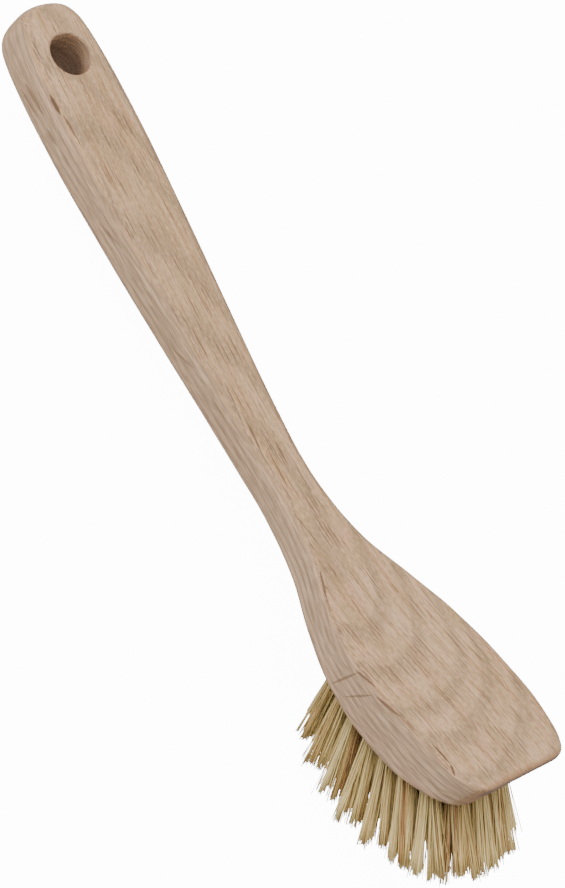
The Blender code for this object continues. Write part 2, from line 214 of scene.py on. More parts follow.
# %% [markdown]
# ## The loft
# Each section starts as a circle of vertices, which are moved onto a rectangle with rounded corners and
# bridged to the ring before. Each flat and corner has a fixed number of them, so the mesh's lines keep to
# the same edge throughout. Sections crowd together where the wood rounds over at its ends.

# %% Loft the wood
FLAT_STEPS, FLANK_STEPS, CORNER_STEPS = 24, 8, 10
FRONT_SECTIONS, HEAD_SECTIONS, HANDLE_SECTIONS, END_SECTIONS = 18, 84, 96, 26
LAST_END_SHARE = 0.9995


def outline_stations():
    """Points round a section, anticlockwise from the right: shares of the flats, and a turn."""
    stations = []
    for corner, (right, top) in enumerate(((1, 1), (-1, 1), (-1, -1), (1, -1))):
        for k in range(CORNER_STEPS):
            stations.append((right, top, math.radians(90) * (corner + k / CORNER_STEPS)))
        steps = FLANK_STEPS if corner % 2 else FLAT_STEPS
        turn = math.radians(90) * (corner + 1)
        for k in range(steps):
            way = 1 - 2 * k / steps
            stations.append((right, top * way, turn) if corner % 2 else (right * way, top, turn))
    return stations


stations = outline_stations()


def section_places():
    quarter = math.radians(90)
    places = []
    for k in range(FRONT_SECTIONS):
        places.append(FRONT_CORNER_RADIUS * (1 - math.cos(quarter * k / FRONT_SECTIONS)))
    straight = HEAD_LENGTH - FRONT_CORNER_RADIUS
    places += [FRONT_CORNER_RADIUS + straight * k / HEAD_SECTIONS for k in range(HEAD_SECTIONS)]
    straight = HANDLE_LENGTH - END_ROUNDING
    places += [HEAD_LENGTH + straight * k / HANDLE_SECTIONS for k in range(HANDLE_SECTIONS)]
    for k in range(END_SECTIONS + 1):
        share = LAST_END_SHARE * math.sin(quarter * k / END_SECTIONS)
        places.append(WOOD_LENGTH - END_ROUNDING * (1 - share))
    return places


def section_ring(shape, x):
    """A ring of vertices in the outline of the section at x. Returns its edges."""
    ring = bmesh.ops.create_circle(shape, cap_ends=False, radius=1.0, segments=len(stations))["verts"]
    radius = edge_radius(x)
    flat, flank = half_width(x) - radius, half_thickness(x) - radius
    for point, (right, top, turn) in zip(ring, stations):
        across = right * flat + radius * math.cos(turn)
        point.co = on_section(x, across, top * flank + radius * math.sin(turn))
    return list({edge for point in ring for edge in point.link_edges})


def lofted_wood():
    shape = bmesh.new()
    last = None
    for x in section_places():
        ring = section_ring(shape, x)
        if last:
            bmesh.ops.bridge_loops(shape, edges=last + ring)
        else:
            bmesh.ops.contextual_create(shape, geom=ring)
        last = [edge for edge in ring if edge.is_valid]
    bmesh.ops.contextual_create(shape, geom=last)
    bmesh.ops.recalc_face_normals(shape, faces=shape.faces)
    return shape


wood_shape = lofted_wood()
open_edges = sum(edge.is_boundary for edge in wood_shape.edges)
print("lofted wood:", len(wood_shape.faces), "faces, open edges:", open_edges)

# %% [markdown]
# ## How the wood rests
# On the table the brush leans on its bristle tips and its hanging end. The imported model's box says how
# much: the loft is turned about Y until it is as tall, and then moved onto that box. Reading the pose
# back from the frame means that the two can't drift apart.

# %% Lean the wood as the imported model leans
STEEPEST_LEAN = math.radians(30)
LEAN_HALVINGS = 40


def leaned_height(points, lean):
    heights = [point.z * math.cos(lean) - point.x * math.sin(lean) for point in points]
    return max(heights) - min(heights)


def resting_place(points, low_corner, high_corner):
    """The matrix from the wood's own frame to where it rests, and the angle of its lean."""
    low, high = 0.0, STEEPEST_LEAN
    for _ in range(LEAN_HALVINGS):
        lean = (low + high) / 2
        if leaned_height(points, lean) < high_corner.z - low_corner.z:
            low = lean
        else:
            high = lean
    turn = Matrix.Rotation(lean, 4, "Y")
    turned = [turn @ point for point in points]
    middle = Vector([(min(way) + max(way)) / 2 for way in zip(*turned)])
    shift = (low_corner + high_corner) / 2 - middle
    shift.y = 0.0
    return Matrix.Translation(shift) @ turn, lean


wood_rest, wood_lean = resting_place([v.co.copy() for v in wood_shape.verts], *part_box("wooden_handle"))
print("lean:", round(math.degrees(wood_lean), 3), "degrees")

# %% [markdown]
# ## Helpers for pieces
# A finished piece sits at the origin, with its place in its mesh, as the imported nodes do. Cutters for a
# Boolean are made the same way, and removed once the cut is made.

# %% Pieces and cuts
def new_piece(name, shape):
    mesh = bpy.data.meshes.new(name)
    shape.to_mesh(mesh)
    shape.free()
    piece = bpy.data.objects.new(name, mesh)
    bpy.context.scene.collection.objects.link(piece)
    return piece


def cut_away(piece, *cutters):
    """Cuts the cutters out of the piece for good."""
    for cutter in cutters:
        step = piece.modifiers.new("cut", "BOOLEAN")
        step.operation = "DIFFERENCE"
        step.solver = "EXACT"
        step.object = cutter
    bpy.context.view_layer.update()
    done = bpy.data.meshes.new_from_object(piece.evaluated_get(bpy.context.evaluated_depsgraph_get()))
    piece.modifiers.clear()
    piece.data = done
    for cutter in cutters:
        bpy.data.objects.remove(cutter, do_unlink=True)


# %% [markdown]
# ## The hanging hole
# The hole is drilled from above and its rim is broken with sandpaper. A bevel on a Boolean cut is
# fragile, so the drill itself carries the rounding: a profile that turns outwards in an arc near both
# faces, spun about the hole's axis, leaves a soft lip.

# %% Drill the hanging hole
HANGING_HOLE_LIP = 0.0007  # radius of the sanded rim
LIP_STEPS = 6
LIP_TURN = math.radians(72)  # short of flat, so that the arc meets the face
DRILL_SIDES = 96
DRILL_OVERRUN = 0.0040
MERGE_DISTANCE = 0.00001


def hanging_drill():
    x = WOOD_LENGTH - HANGING_HOLE_FROM_END
    radius = HANGING_HOLE_DIAMETER / 2
    face = half_thickness(x)
    turns = [LIP_TURN * k / LIP_STEPS for k in range(LIP_STEPS + 1)]
    lip = [
        (radius + HANGING_HOLE_LIP * (1 - math.cos(turn)), face - HANGING_HOLE_LIP * (1 - math.sin(turn)))
        for turn in turns
    ]
    wide, top = lip[-1]
    lip.append((wide + DRILL_OVERRUN * math.sin(LIP_TURN), top + DRILL_OVERRUN * math.cos(LIP_TURN)))
    profile = [(0.0, -lip[-1][1]), *((r, -z) for r, z in reversed(lip)), *lip, (0.0, lip[-1][1])]
    shape = bmesh.new()
    corners = [shape.verts.new((r, 0.0, z)) for r, z in profile]
    edges = [shape.edges.new(pair) for pair in zip(corners, corners[1:])]
    bmesh.ops.spin(
        shape, geom=corners + edges, cent=(0, 0, 0), axis=(0, 0, 1), angle=math.tau,
        steps=DRILL_SIDES, use_merge=True, use_duplicate=False,
    )
    bmesh.ops.remove_doubles(shape, verts=shape.verts, dist=MERGE_DISTANCE)
    bmesh.ops.recalc_face_normals(shape, faces=shape.faces)
    place = Matrix.Translation(on_section(x, 0.0, 0.0)) @ Matrix.Rotation(fall_angle(x), 4, "Y")
    bmesh.ops.transform(shape, matrix=wood_rest @ place, verts=shape.verts)
    return new_piece("hanging_drill", shape)


bmesh.ops.transform(wood_shape, matrix=wood_rest, verts=wood_shape.verts)
wood = new_piece("wooden_handle_fine", wood_shape)
hanging_cut = hanging_drill()
print("drill:", len(hanging_cut.data.polygons), "faces")

# %% [markdown]
# ## Where the tufts stand
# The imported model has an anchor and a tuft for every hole. The anchor's middle lies on the hole's axis
# and the tuft's tips at its far end, so these two give the axis without repeating how the field was laid
# out.

# %% Read the tufts' axes from the frame
TUFT_HOLE_RADIUS = 0.0024
TUFT_HOLE_DEPTH = 0.0090
ANCHOR_BELOW_MOUTH = 0.0056  # hole's mouth to the anchor's middle
TIP_ZONE = 0.0020  # points this close to the farthest one are tips

tuft_names = sorted(name[len("tuft_"):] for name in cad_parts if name.startswith("tuft_"))


def mean_point(points):
    points = list(points)
    return sum(points, Vector()) / len(points)


def tuft_axis(name):
    """The mouth of the tuft's hole, and the direction in which its bristles leave it."""
    anchor = mean_point(v.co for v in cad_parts["anchor_" + name].data.vertices)
    fibres = [v.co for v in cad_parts["tuft_" + name].data.vertices]
    reach = max((point - anchor).length for point in fibres)
    tips = mean_point(point for point in fibres if (point - anchor).length > reach - TIP_ZONE)
    outwards = (tips - anchor).normalized()
    return anchor + outwards * ANCHOR_BELOW_MOUTH, outwards


tuft_axes = {name: tuft_axis(name) for name in tuft_names}
print("tufts:", len(tuft_axes))

# %% [markdown]
# ## The tuft holes
# One cutter holds all the drilled holes. The cone operator with equal radii makes a cylinder, turned to
# each axis.

# %% Drill the tuft holes
TUFT_DRILL_SIDES = 28


def tuft_drills():
    shape = bmesh.new()
    for mouth, outwards in tuft_axes.values():
        middle = mouth + outwards * (DRILL_OVERRUN - TUFT_HOLE_DEPTH) / 2
        place = Matrix.Translation(middle) @ outwards.to_track_quat("Z", "Y").to_matrix().to_4x4()
        bmesh.ops.create_cone(
            shape, cap_ends=True, segments=TUFT_DRILL_SIDES, radius1=TUFT_HOLE_RADIUS,
            radius2=TUFT_HOLE_RADIUS, depth=TUFT_HOLE_DEPTH + DRILL_OVERRUN, matrix=place,
        )
    return new_piece("tuft_drills", shape)


cut_away(wood, hanging_cut, tuft_drills())
print("drilled wood:", len(wood.data.polygons), "faces")

# %% [markdown]
# ## Which way the wood faces
# Grain looks different on a flank than on the top. A Geometry node could say which way a point faces, but
# in the world's directions, which change as the brush is turned. An attribute of the points goes along
# with the mesh.

# %% Store how far each point faces sideways
SHARP_ANGLE = math.radians(38)


def store_sideways(piece):
    """Stores how far each point faces sideways, from 0 on the top to 1 on a flank."""
    layer = piece.data.attributes.new("sideways", "FLOAT", "POINT")
    for point, stored in zip(piece.data.vertices, layer.data):
        stored.value = abs(point.normal.y)


store_sideways(wood)
wood.data.shade_smooth()
wood.data.set_sharp_from_angle(angle=SHARP_ANGLE)
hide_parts("wooden_handle")
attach(wood, "root")
print("points with a direction:", len(wood.data.attributes["sideways"].data))

# %% [markdown]
# ## Building materials in code
# A node tree is easier to read when each node is one line: its kind, its settings and what feeds it. A
# feed is a plain value or another node's output.

# %% Helpers for single nodes
def feed(tree, node, values):
    """Gives inputs, by name or number, a value or another node's output."""
    for key, value in values.items():
        if isinstance(value, bpy.types.NodeSocket):
            tree.links.new(value, node.inputs[key])
        else:
            node.inputs[key].default_value = value


def add_node(tree, kind, settings=None, feeds=(), **named):
    """Adds a shader node with settings of its own. Feeds come in order, by number or by name."""
    node = tree.nodes.new("ShaderNode" + kind)
    for name, value in (settings or {}).items():
        setattr(node, name, value)
    feed(tree, node, feeds if isinstance(feeds, dict) else dict(enumerate(feeds)))
    feed(tree, node, named)
    return node


def calculate(tree, operation, *values, clamp=False):
    settings = {"operation": operation, "use_clamp": clamp}
    return add_node(tree, "Math", settings, values).outputs[0]


def times(tree, first, second):
    return calculate(tree, "MULTIPLY", first, second)


def times_plus(tree, first, second, more):
    return calculate(tree, "MULTIPLY_ADD", first, second, more)


def vectors(tree, operation, *values):
    return add_node(tree, "VectorMath", {"operation": operation}, values).outputs


def remap(tree, value, *ends, smooth=True):
    """A mask between the first two ends, from 0 to 1 or between the other two."""
    settings = {"interpolation_type": "SMOOTHSTEP" if smooth else "LINEAR"}
    return add_node(tree, "MapRange", settings, (value, *ends)).outputs[0]


def mix_colours(tree, share, first, second, blend="MIX"):
    settings = {"data_type": "RGBA", "blend_type": blend}
    return add_node(tree, "Mix", settings, {0: share, 6: first, 7: second}).outputs[2]


print("node helpers ready")

# %% [markdown]
# ## Patterns and groups
# Wood stretches every pattern along its grain. A texture node's scale does that too, but dividing the
# place by a pattern's real length and width keeps both as sizes that can be measured on the brush.

# %% Helpers for patterns, groups and materials
def split(tree, vector):
    return add_node(tree, "SeparateXYZ", feeds=(vector,)).outputs


def stretched(tree, place, along, across):
    """The place, divided by a pattern's length and its width."""
    return vectors(tree, "DIVIDE", place, (along, across, across))[0]


def soft_noise(tree, place, detail):
    node = add_node(tree, "TexNoise", Vector=place, Scale=1.0, Detail=detail, Roughness=0.5)
    return node.outputs["Fac"]


def colour_ramp(tree, value, stops):
    """The colour for a value from 0 to 1. The stops' first share is 0 and their last is 1."""
    ramp = add_node(tree, "ValToRGB", feeds=(value,))
    made = ramp.color_ramp.elements
    for share, colour in stops[1:-1]:
        made.new(share).color = colour
    made[0].color, made[-1].color = stops[0][1], stops[-1][1]
    return ramp.outputs["Color"]


def new_group(name, inputs, outputs):
    """A node group with named sockets, its input node and its output node."""
    group = bpy.data.node_groups.new(name, "ShaderNodeTree")
    for way, sockets in (("INPUT", inputs), ("OUTPUT", outputs)):
        for label, kind in sockets:
            group.interface.new_socket(label, in_out=way, socket_type="NodeSocket" + kind)
    return group, group.nodes.new("NodeGroupInput"), group.nodes.new("NodeGroupOutput")


def use_group(tree, group, **feeds):
    return add_node(tree, "Group", {"node_tree": group}, **feeds).outputs


def new_material(name):
    made = bpy.data.materials.new(name)
    made.use_nodes = True
    return made, made.node_tree, made.node_tree.nodes["Principled BSDF"]


print("group helpers ready")

# %% [markdown]
# ## Oak, as a solid
# A board of oak is a stack of growth rings. A grain painted on with UVs would break at every edge. A
# solid pattern doesn't: the shader works out which ring each point lies in, and the curled
# head cuts the rings into arcs, as a plane does on a real board.
#
# In a piece this small the rings are nearly flat layers, each with a shallow dome across the grain. So a
# point's place in the stack is its height, plus a little along the grain, plus the square of its distance
# from the dome's crest. As the rings aren't equally thick, a ramp turns that height into a count.

# %% The growth rings, as a group of nodes
RING_HEIGHTS_MM = (-10.5, -8.0, -5.6, -3.3, -0.9, 1.6, 3.9, 6.4, 8.4, 10.8, 13.9, 18.0, 20.2, 23.0, 26.0)
RING_FALL = 0.010  # along the brush
CREST_ASIDE = 0.009  # from the middle plane
DOMES = (0.015, 0.060, 4.8, 11.5)  # steeper between two places along the wood
RING_WAVES = 0.0011
RING_WAVE_SIZE = (0.024, 0.0075)  # along the grain and across it
RING_SHIFT = 0.30  # added to the count
BAND_OPENS, BAND_CLOSES = (0.06, 0.26), (0.34, 0.72, 1.0, 0.0)  # the dark band, as shares of a ring


def ring_group():
    group, start, end = new_group("oak_rings", [("Place", "Vector")], [("Ring", "Float")])
    place = start.outputs["Place"]
    x, y, z = split(group, place)
    aside = calculate(group, "SUBTRACT", y, CREST_ASIDE)
    dome = times(group, times(group, aside, aside), remap(group, x, *DOMES))
    height = calculate(group, "ADD", times_plus(group, x, RING_FALL, z), dome)
    waves = soft_noise(group, stretched(group, place, *RING_WAVE_SIZE), detail=2.0)
    height = times_plus(group, calculate(group, "SUBTRACT", waves, 0.5), RING_WAVES, height)
    low, high = RING_HEIGHTS_MM[0] / 1000, RING_HEIGHTS_MM[-1] / 1000
    rings = len(RING_HEIGHTS_MM) - 1
    counts = [
        ((millimetres / 1000 - low) / (high - low), (k / rings, k / rings, k / rings, 1.0))
        for k, millimetres in enumerate(RING_HEIGHTS_MM)
    ]
    count = colour_ramp(group, remap(group, height, low, high, smooth=False), counts)
    phase = calculate(group, "FRACT", times_plus(group, count, rings, RING_SHIFT))
    band = times(group, remap(group, phase, *BAND_OPENS), remap(group, phase, *BAND_CLOSES))
    feed(group, end, {"Ring": band})
    return group


oak_rings = ring_group()
print("rings:", len(RING_HEIGHTS_MM))

# %% [markdown]
# ## The place below the top face
# The curl of the head cuts the rings, but the pores of the real brush follow it. So the fine grain is
# drawn in a place whose height is counted from the top face. A Float Curve node holds how high that face
# lies, in a few points from the loft's own functions.

# %% A curve node that knows the top face
TOP_CURVE_POINTS = 14
TOP_CURVE_SPAN = (-0.004, 0.252)  # along the board
TOP_CURVE_HEIGHTS = (0.0, 0.032)


def below_top_group():
    group, start, end = new_group("below_top_face", [("Place", "Vector")], [("Place", "Vector")])
    x, y, z = split(group, start.outputs[0])
    (near, far), (low, high) = TOP_CURVE_SPAN, TOP_CURVE_HEIGHTS
    node = add_node(group, "FloatCurve", Value=remap(group, x, near, far, smooth=False))
    curve = node.mapping.curves[0]
    for k in range(TOP_CURVE_POINTS):
        along = (WOOD_LENGTH - END_EDGE_ROUNDING) * k / (TOP_CURVE_POINTS - 1)
        face = on_section(along, 0.0, half_thickness(max(along, FRONT_EDGE_RADIUS)))
        spot = ((face.x - near) / (far - near), (face.z - low) / (high - low))
        if k in (0, TOP_CURVE_POINTS - 1):
            curve.points[0 if k == 0 else -1].location = spot
        else:
            curve.points.new(*spot)
    node.mapping.update()
    top = remap(group, node.outputs[0], 0.0, 1.0, low, high, smooth=False)
    place = add_node(group, "CombineXYZ", X=x, Y=y, Z=calculate(group, "SUBTRACT", z, top))
    feed(group, end, {"Place": place.outputs[0]})
    return group


below_top_face = below_top_group()
print("curve points:", TOP_CURVE_POINTS)

# %% [markdown]
# ## Pores
# The wide pores of oak show as thin dark lines, up to a centimetre long and a fifth of a millimetre wide.
# Noise that is cut off high gives soft blots, so cells that are stretched along the grain draw them: a pore
# fills the middle of its cell, and the cell's random colour says how large it is. In a ring's dark band the
# pores are larger.

# %% Pores in stretched cells
PORE_CELLS = (0.0140, 0.00052)  # along the grain and across it
PORE_SIZES = (0.17, 0.25)  # the smallest, and what chance adds, in cells
PORES_GROW_IN_RING = 0.35
PORE_CORE = 0.55  # of a pore's size, fully dark


def pores_at(group, place, ring):
    cells = add_node(group, "TexVoronoi", Vector=stretched(group, place, *PORE_CELLS), Scale=1.0)
    lot = add_node(group, "SeparateColor", feeds=(cells.outputs["Color"],)).outputs[0]
    lot = times_plus(group, ring, PORES_GROW_IN_RING, lot)
    size = times_plus(group, lot, PORE_SIZES[1], PORE_SIZES[0])
    off_middle = calculate(group, "DIVIDE", cells.outputs["Distance"], size)
    return remap(group, off_middle, PORE_CORE, 1.0, 1.0, 0.0)


print("pore cells, mm:", [1000 * size for size in PORE_CELLS])

# %% [markdown]
# ## Lines along the flank
# On the flank the growth layers show as soft lines, two or three millimetres apart. A sine of the height,
# bent by noise, draws them. They begin on the rounded edge, where the height hardly changes, so the edge
# adds to it.

# %% The layers' lines
LINE_BENDS = (0.022, 0.0150)  # along the grain and across it
LINE_SPACING, LINE_BEND = 0.0025, 0.0046
LINES_SIDEWAYS = (0.05, 0.30)  # sideways, where the lines begin
EDGE_DROP = 0.0028  # what the rounded edge adds to the height


def flank_lines_at(group, place, height, sideways):
    bend = soft_noise(group, stretched(group, place, *LINE_BENDS), detail=1.0)
    layer = times_plus(group, sideways, -EDGE_DROP, height)
    layer = times_plus(group, bend, LINE_BEND, layer)
    wave = calculate(group, "SINE", times(group, layer, math.tau / LINE_SPACING))
    return times(group, remap(group, wave, 0.0, 1.0), remap(group, sideways, *LINES_SIDEWAYS))


print("a flank line every", 1000 * LINE_SPACING, "mm")

# %% [markdown]
# ## The fine grain
# Noise gives the rest: silky streaks, short fibres, and patches that drift from pinkish to straw. A flank
# cuts these at a slant, which would chop them up, so there the place is squeezed first.

# %% The fine grain, as a group of nodes
# each pattern's length along the grain, its width across it, and its detail
PATTERNS = {
    "Streaks": (0.046, 0.00115, 2.0),
    "Fibres": (0.0016, 0.00034, 1.0),
    "Patches": (0.0085, 0.0042, 2.5),
    "Clouds": (0.034, 0.0110, 1.0),
}
FLANK_SIDEWAYS = (0.66, 0.74)  # sideways, where the flank begins
FLANK_SQUEEZES = (0.65, 0.92)  # how much less a pattern changes there
PORES_LOST_ON_FLANK = 0.55


def fine_grain_group():
    inputs = [("Place", "Vector"), ("Ring", "Float"), ("Sideways", "Float")]
    outputs = [(name, "Float") for name in ("Pores", *PATTERNS, "Layers")]
    group, start, end = new_group("oak_fine_grain", inputs, outputs)
    place, ring, sideways = list(start.outputs)[:3]
    x, y, height = split(group, place)
    flank = remap(group, sideways, *FLANK_SIDEWAYS)
    x, y = (
        times(group, way, times_plus(group, flank, -squeeze, 1.0))
        for way, squeeze in zip((x, y), FLANK_SQUEEZES)
    )
    place = add_node(group, "CombineXYZ", X=x, Y=y, Z=height).outputs[0]
    pores = pores_at(group, place, ring)
    shown = times_plus(group, flank, -PORES_LOST_ON_FLANK, 1.0)
    feed(group, end, {"Pores": times(group, pores, shown)})
    for name, (along, across, detail) in PATTERNS.items():
        feed(group, end, {name: soft_noise(group, stretched(group, place, along, across), detail)})
    feed(group, end, {"Layers": flank_lines_at(group, place, height, sideways)})
    return group


oak_fine_grain = fine_grain_group()
print("fine grain nodes:", len(oak_fine_grain.nodes))

# %% [markdown]
# ## Single marks
# Some marks no noise would put in the right place: long open pores beside the edge line, two thin lines
# over the flank of the head, and dark flecks towards the hanging end. Each is a short line on the wood. A
# joiner gives a point as a distance along the wood and one round the section, from the middle of the top,
# and so does the table.

# %% The table of marks
# place along and round the wood at the start, then at the end, half width (all in mm), and darkness
MARKS = (
    # open pores along the edge of the head
    (7.9, 18.9, 10.8, 18.0, 0.5, 0.9), (10.8, 18.0, 17.0, 18.4, 0.5, 0.9),
    (3.2, 18.8, 5.8, 16.9, 0.45, 0.8), (10.0, 19.4, 26.7, 20.3, 0.6, 0.75),
    (26.7, 20.5, 34.0, 21.5, 0.65, 0.8), (36.3, 20.0, 43.5, 20.8, 0.5, 0.85),
    # two straight lines over the flank
    (42.6, 21.0, 46.9, 31.2, 0.55, 0.6), (35.6, 22.6, 41.6, 30.6, 0.5, 0.55),
    # open pores on the shoulder, the neck and the handle
    (50.0, 17.3, 54.7, 18.6, 0.4, 0.7), (56.5, 15.3, 60.5, 16.2, 0.4, 0.75),
    (60.5, 15.8, 65.5, 13.5, 0.45, 0.5), (65.0, 13.8, 72.7, 10.3, 0.5, 0.8),
    (79.8, 5.8, 90.0, 6.8, 0.4, 0.65), (97.7, 4.1, 109.8, 3.3, 0.4, 0.7),
    (109.8, 5.5, 118.5, 5.1, 0.42, 0.85), (124.0, 5.7, 131.0, 5.4, 0.4, 0.7),
    (138.5, 6.4, 147.8, 6.6, 0.38, 0.65), (138.5, 11.7, 145.2, 15.0, 0.7, 0.5),
    (114.0, 8.9, 130.5, 11.6, 0.7, 0.35),
    # flecks towards the hanging end
    (207.7, 11.3, 214.6, 11.7, 0.45, 0.75), (215.5, 12.3, 221.3, 12.4, 0.8, 0.95),
    (218.8, 17.9, 228.0, 18.4, 1.2, 0.62), (219.0, 20.4, 228.0, 21.2, 0.6, 0.7),
    (209.5, 18.6, 214.5, 19.2, 1.2, 0.4), (176.0, 14.2, 185.0, 17.8, 0.8, 0.4),
)


def round_section(x, way):
    """The point this far round the section at x, from the top's middle to the near flank."""
    radius = edge_radius(x)
    flat = half_width(x) - radius
    turn = min(max((way - flat) / radius, 0.0), math.radians(90))
    across = min(way, flat) + radius * math.sin(turn)
    down = radius * (1 - math.cos(turn)) + max(way - flat - radius * math.radians(90), 0.0)
    return on_section(x, across, half_thickness(x) - down)


print("marks:", len(MARKS))

# %% [markdown]
# The shader darkens whatever lies near a mark's line. The dot product gives the share of the line that a
# point has passed, and the clamp keeps it between the two ends.

# %% A mark, as a group of nodes
MARK_TAPER = (0.0, 0.6, 0.35, 1.0)  # from the ends to the middle
MARK_EDGE = (0.3, 1.0, 1.0, 0.0)  # from the middle line to the edge


def mark_group():
    inputs = [(name, "Vector") for name in ("Place", "Start", "End")]
    inputs += [("Width", "Float"), ("Darkness", "Float")]
    group, start, end = new_group("wood_mark", inputs, [("Mark", "Float")])
    place, first, last, width, darkness = list(start.outputs)[:5]
    off, line = vectors(group, "SUBTRACT", place, first)[0], vectors(group, "SUBTRACT", last, first)[0]
    passed, whole = [vectors(group, "DOT_PRODUCT", way, line)["Value"] for way in (off, line)]
    share = calculate(group, "DIVIDE", passed, whole, clamp=True)
    distance = vectors(group, "DISTANCE", off, vectors(group, "MULTIPLY", line, share)[0])["Value"]
    middle = calculate(group, "PINGPONG", times(group, share, 2.0), 1.0)
    reach = times(group, width, remap(group, middle, *MARK_TAPER))
    edge = remap(group, calculate(group, "DIVIDE", distance, reach), *MARK_EDGE)
    feed(group, end, {"Mark": times(group, edge, darkness)})
    return group


def all_marks(tree, place):
    """The darkest mark at the place, of all in the table."""
    darkest = 0.0
    for *sizes, darkness in MARKS:
        x0, way0, x1, way1, width = (size / 1000 for size in sizes)
        mark = use_group(
            tree, wood_mark, Place=place, Start=round_section(x0, way0), End=round_section(x1, way1),
            Width=width, Darkness=darkness,
        )
        darkest = calculate(tree, "MAXIMUM", darkest, mark[0])
    return darkest


wood_mark = mark_group()
print("nodes in a mark:", len(wood_mark.nodes))

# %% [markdown]
# ## The sanded wood
# Pale oak drifts between pinkish and straw, with silky paler streaks and warm brown ones, and greyer
# flanks. Each mask lays one more colour over the last, as a painter builds up a grain, so one colour can
# be changed without touching the others.

# %% The oak's colours
OAK_PINK = (0.535, 0.315, 0.184, 1.0)
OAK_STRAW = (0.425, 0.272, 0.138, 1.0)
OAK_SILK = (0.640, 0.418, 0.248, 1.0)
OAK_WARM = (0.395, 0.216, 0.094, 1.0)
OAK_RING = (0.275, 0.184, 0.104, 1.0)
OAK_LAYER = (0.235, 0.152, 0.112, 1.0)
OAK_FLANK = (0.430, 0.320, 0.255, 1.0)
# each mask runs between the first two values, and its share of the colour between the last two
PATCH_STRAW, CLOUD_SILK = (0.38, 0.62, 0.0, 1.0), (0.42, 0.66, 0.0, 0.55)
STREAK_SILK, STREAK_WARM = (0.52, 0.68, 0.0, 0.52), (0.34, 0.48, 0.82, 0.0)
FIBRE_DARK, FIBRE_SILK = (0.34, 0.50, 0.48, 0.0), (0.50, 0.66, 0.0, 0.48)
HANDLE_STRAW, END_PINK = (0.070, 0.130, 0.0, 0.45), (0.190, 0.228, 1.0, 0.0)  # along the wood
# painted shade: a warm brown band across the rounded edge between the top and the flank
EDGE_SHADE_BEGINS, EDGE_SHADE_ENDS = (0.10, 0.50), (0.60, 0.95, 0.45, 0.0)  # sideways, across the rounded edge
FLANK_GREYS, FLANK_GREY_SHARE = (0.50, 0.90), 0.28  # sideways too
FLANK_CALM = 0.60  # how much weaker the streaks are there
RING_SHARE, LAYER_SHARE = 0.55, 0.58


def laid_over(tree, tone, *layers):
    """The tone with colour after colour laid over it, each by its share."""
    for share, colour in layers:
        tone = mix_colours(tree, share, tone, colour)
    return tone


def sanded_tone(tree, x, ring, sideways, fine):
    """The colour of the sanded wood, with painted shade along its rounded edge, without its pores and
    marks.
    """
    warmer = times(tree, remap(tree, x, *HANDLE_STRAW), remap(tree, x, *END_PINK))
    on_flank = remap(tree, sideways, *FLANK_GREYS)
    calm = times_plus(tree, on_flank, -FLANK_CALM, 1.0)
    return laid_over(
        tree, OAK_PINK,
        (remap(tree, fine["Patches"], *PATCH_STRAW), OAK_STRAW),
        (remap(tree, fine["Clouds"], *CLOUD_SILK), OAK_SILK),
        (warmer, OAK_STRAW),
        (times(tree, calm, remap(tree, fine["Streaks"], *STREAK_SILK)), OAK_SILK),
        (times(tree, calm, remap(tree, fine["Streaks"], *STREAK_WARM)), OAK_WARM),
        (times(tree, on_flank, FLANK_GREY_SHARE), OAK_FLANK),
        # painted shade along the rounded edge
        (times(tree, remap(tree, sideways, *EDGE_SHADE_BEGINS), remap(tree, sideways, *EDGE_SHADE_ENDS)), OAK_WARM),
        (times(tree, ring, RING_SHARE), OAK_RING),
        (times(tree, fine["Layers"], LAYER_SHARE), OAK_LAYER),
        (remap(tree, fine["Fibres"], *FIBRE_DARK), OAK_RING),
        (remap(tree, fine["Fibres"], *FIBRE_SILK), OAK_SILK),
    )


print("oak colours from", OAK_LAYER[:3], "to", OAK_SILK[:3])

# %% [markdown]
# ## Where the fibres are cut across, and painted shade
# End grain is darker, so the front face is darker, and the front edge has a browner rim. Painted shade
# darkens the front face further towards its top edge, and the hanging hole's wall the deeper it goes. A
# mask image could paint them, but a leaning plane and a cylinder are simple enough for the shader to
# measure how far away they are.

# %% End grain, and painted shade on the front face and in the hanging hole
OAK_PORE = (0.115, 0.061, 0.034, 1.0)
# the end grain's colour, also used for the painted shade on the front face and in the hanging hole
OAK_END_GRAIN_AND_SHADE = (0.125, 0.076, 0.060, 1.0)
OAK_RIM = (0.310, 0.168, 0.080, 1.0)
FRONT_LEAN = 0.11  # how far the front face leans, per height
FRONT_RIM, FRONT_FACE = (0.0010, 0.0026, 0.75, 0.0), (0.0002, 0.0012, 1.0, 0.0)  # behind the front face
# painted shade over the front face's end grain, darker towards its top edge
FRONT_GRAIN_AND_SHADE = (-0.0060, -0.0030, 0.30, 0.85)  # below the top face: it darkens upwards
HOLE_WALL = (0.0005, 0.0001)  # outside the hole's radius
# painted shade on the hanging hole's wall, darker deeper down
HOLE_DEPTHS = (-0.0020, -0.0095, 0.16, 0.58)  # below the top face: it darkens downwards


def hanging_hole_shade(tree, x, y, z, below_top):
    """How much painted shade lies on the wall of the hanging hole at a point, or 0 off it."""
    hole_x = WOOD_LENGTH - HANGING_HOLE_FROM_END
    middle, slope = on_section(hole_x, 0.0, 0.0), math.tan(fall_angle(hole_x))
    leaned = times_plus(tree, z, -slope, x)
    off_axis = calculate(tree, "SUBTRACT", leaned, middle.x - slope * middle.z)
    off_axis = times(tree, off_axis, math.cos(fall_angle(hole_x)))
    squares = [times(tree, way, way) for way in (off_axis, y)]
    reach = calculate(tree, "SQRT", calculate(tree, "ADD", *squares))
    wall = remap(tree, calculate(tree, "SUBTRACT", reach, HANGING_HOLE_DIAMETER / 2), *HOLE_WALL)
    return times(tree, wall, remap(tree, below_top, *HOLE_DEPTHS))


